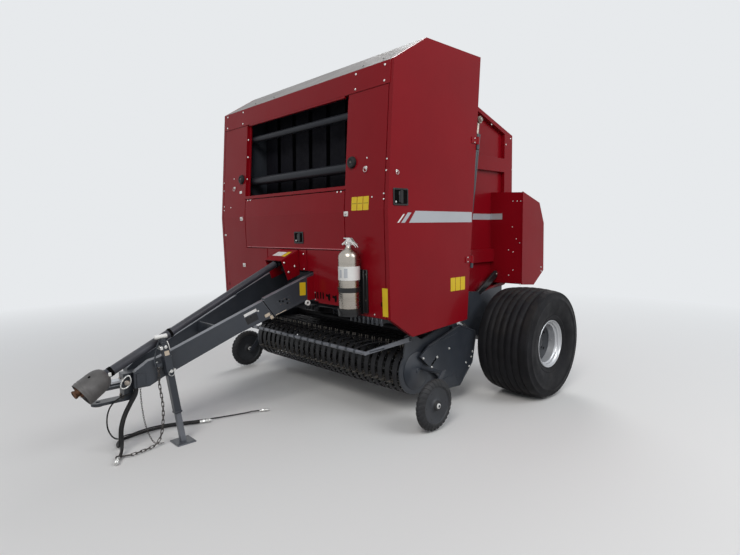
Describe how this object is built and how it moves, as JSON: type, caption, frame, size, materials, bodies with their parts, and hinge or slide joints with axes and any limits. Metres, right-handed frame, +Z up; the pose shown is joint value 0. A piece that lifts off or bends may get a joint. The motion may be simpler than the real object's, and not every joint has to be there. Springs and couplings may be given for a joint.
{
  "type": "round baler",
  "caption": "Towed round baler with a red housing over a belt chamber, a tined pickup on gauge wheels, a lifting tailgate on cylinders, a drawbar with a jack and a drive shaft.",
  "frame": {"origin": "on the ground, on the centre line, midway between the front of the drive shaft and the rear lamps", "axes": "+X to the machine's left, -Y forwards to the hitch, +Z up"},
  "size_m": [3.372, 4.2797, 3.004],
  "materials": {
    "slate_paint": "semi-gloss charcoal paint",
    "red_paint": "glossy deep red paint",
    "roof_paint": "dusty pale paint",
    "roller_steel": "worn bare steel",
    "belt_rubber": "matt black belting",
    "black_plastic": "matt black plastic",
    "black_paint": "black paint",
    "bottle_steel": "polished steel",
    "zinc": "zinc plated steel",
    "tyre_rubber": "matt black rubber",
    "rim_silver": "silver paint",
    "wheel_rubber": "matt black rubber",
    "lamp_red": "clear red lens",
    "chrome_rod": "polished",
    "hose_rubber": "matt black rubber"
  },
  "bodies": {
    "frame": {"side_sheets": "slate_paint", "cross_beams": "slate_paint", "outer_frame": "slate_paint", "axle_frame": "slate_paint", "front_header": "red_paint", "roof_cover": "roof_paint", "front_panel_left": "red_paint", "front_panel_right": "red_paint", "window_frame": "red_paint", "rollers": "roller_steel", "belts": "belt_rubber", "gearbox": "slate_paint", "gearbox_hood": "red_paint", "tongue": "slate_paint", "hitch_clevis": "slate_paint", "driveline_guard": "black_plastic", "extinguisher_bracket": "black_paint", "fire_extinguisher": "bottle_steel", "jack_tube": "slate_paint", "hose_left": "hose_rubber", "hose_right": "hose_rubber", "light_cable": "hose_rubber", "safety_chain": "zinc", "guard_chain": "zinc", "couplers": "zinc"},
    "wheel_left": {"tyre_left": "tyre_rubber", "rim_left": "rim_silver"},
    "wheel_right": {"tyre_right": "tyre_rubber", "rim_right": "rim_silver"},
    "pickup": {"pickup_frame": "slate_paint", "stripper_bands": "slate_paint", "drive_shield": "slate_paint"},
    "reel": {"tine_reel": "black_paint"},
    "windguard": {"windguard": "slate_paint"},
    "gauge_left": {"gauge_wheel_left": "wheel_rubber"},
    "gauge_right": {"gauge_wheel_right": "wheel_rubber"},
    "tailgate": {"tailgate": "red_paint", "tailgate_frame": "slate_paint", "tail_lamps": "lamp_red"},
    "barrel_left": {"cylinder_barrel_left": "slate_paint"},
    "rod_left": {"cylinder_rod_left": "chrome_rod"},
    "barrel_right": {"cylinder_barrel_right": "slate_paint"},
    "rod_right": {"cylinder_rod_right": "chrome_rod"},
    "door_left": {"side_door_left": "red_paint"},
    "door_right": {"side_door_right": "red_paint"},
    "front_door": {"front_door": "red_paint"},
    "jack": {"jack_leg": "zinc"},
    "driveline": {"driveline_shaft": "roller_steel"}
  },
  "joints": [
    {"name": "wheel_left_spin", "type": "hinge", "parent": "frame", "child": "wheel_left", "pos_m": [1.421, 1.4, 0.502], "axis": [1, 0, 0], "continuous": true},
    {"name": "wheel_right_spin", "type": "hinge", "parent": "frame", "child": "wheel_right", "pos_m": [-1.421, 1.4, 0.502], "axis": [1, 0, 0], "continuous": true},
    {"name": "pickup_lift", "type": "hinge", "parent": "frame", "child": "pickup", "pos_m": [0, 0.7, 0.7], "axis": [-1, 0, 0], "range_deg": [0, 10]},
    {"name": "reel_spin", "type": "hinge", "parent": "pickup", "child": "reel", "pos_m": [0, 0.19, 0.39], "axis": [1, 0, 0], "continuous": true},
    {"name": "windguard_swing", "type": "hinge", "parent": "pickup", "child": "windguard", "pos_m": [0, 0.1, 0.67], "axis": [-1, 0, 0], "range_deg": [-10, 6]},
    {"name": "gauge_left_spin", "type": "hinge", "parent": "pickup", "child": "gauge_left", "pos_m": [1.387, 0.041, 0.21], "axis": [1, 0, 0], "continuous": true},
    {"name": "gauge_right_spin", "type": "hinge", "parent": "pickup", "child": "gauge_right", "pos_m": [-1.387, 0.041, 0.21], "axis": [1, 0, 0], "continuous": true},
    {"name": "tailgate_lift", "type": "hinge", "parent": "frame", "child": "tailgate", "pos_m": [0, 0.91, 2.885], "axis": [1, 0, 0], "range_deg": [0, 55]},
    {"name": "cylinder_left_lean", "type": "hinge", "parent": "frame", "child": "barrel_left", "pos_m": [0.945, 0.99, 0.93], "axis": [-1, 0, 0], "range_deg": [0, 1.3]},
    {"name": "cylinder_left_stroke", "type": "slide", "parent": "barrel_left", "child": "rod_left", "axis": [0, 0.1494, 0.9888], "range_m": [0, 0.415]},
    {"name": "cylinder_right_lean", "type": "hinge", "parent": "frame", "child": "barrel_right", "pos_m": [-0.945, 0.99, 0.93], "axis": [-1, 0, 0], "range_deg": [0, 1.3]},
    {"name": "cylinder_right_stroke", "type": "slide", "parent": "barrel_right", "child": "rod_right", "axis": [0, 0.1494, 0.9888], "range_m": [0, 0.415]},
    {"name": "side_door_left_swing", "type": "hinge", "parent": "frame", "child": "door_left", "pos_m": [1.244, 0.72724, 1.295], "axis": [0, 0.0774, 0.997], "range_deg": [0, 85]},
    {"name": "side_door_right_swing", "type": "hinge", "parent": "frame", "child": "door_right", "pos_m": [-1.244, 0.72724, 1.295], "axis": [0, -0.0774, -0.997], "range_deg": [0, 85]},
    {"name": "front_door_swing", "type": "hinge", "parent": "frame", "child": "front_door", "pos_m": [0, -0.27938, 1.86], "axis": [-1, 0, 0], "range_deg": [0, 80]},
    {"name": "jack_slide", "type": "slide", "parent": "frame", "child": "jack", "axis": [0, -0.1392, 0.9903], "range_m": [0, 0.21]},
    {"name": "driveline_spin", "type": "hinge", "parent": "frame", "child": "driveline", "pos_m": [0, -0.4, 1.297], "axis": [0.0793, -0.9065, -0.4147], "continuous": true}
  ],
  "couplings": [
    {"joint": "cylinder_left_lean", "follows": "tailgate_lift", "ratio": 0.02217},
    {"joint": "cylinder_left_stroke", "follows": "tailgate_lift", "m_per_rad": 0.42699},
    {"joint": "cylinder_right_lean", "follows": "tailgate_lift", "ratio": 0.02217},
    {"joint": "cylinder_right_stroke", "follows": "tailgate_lift", "m_per_rad": 0.42699}
  ]
}
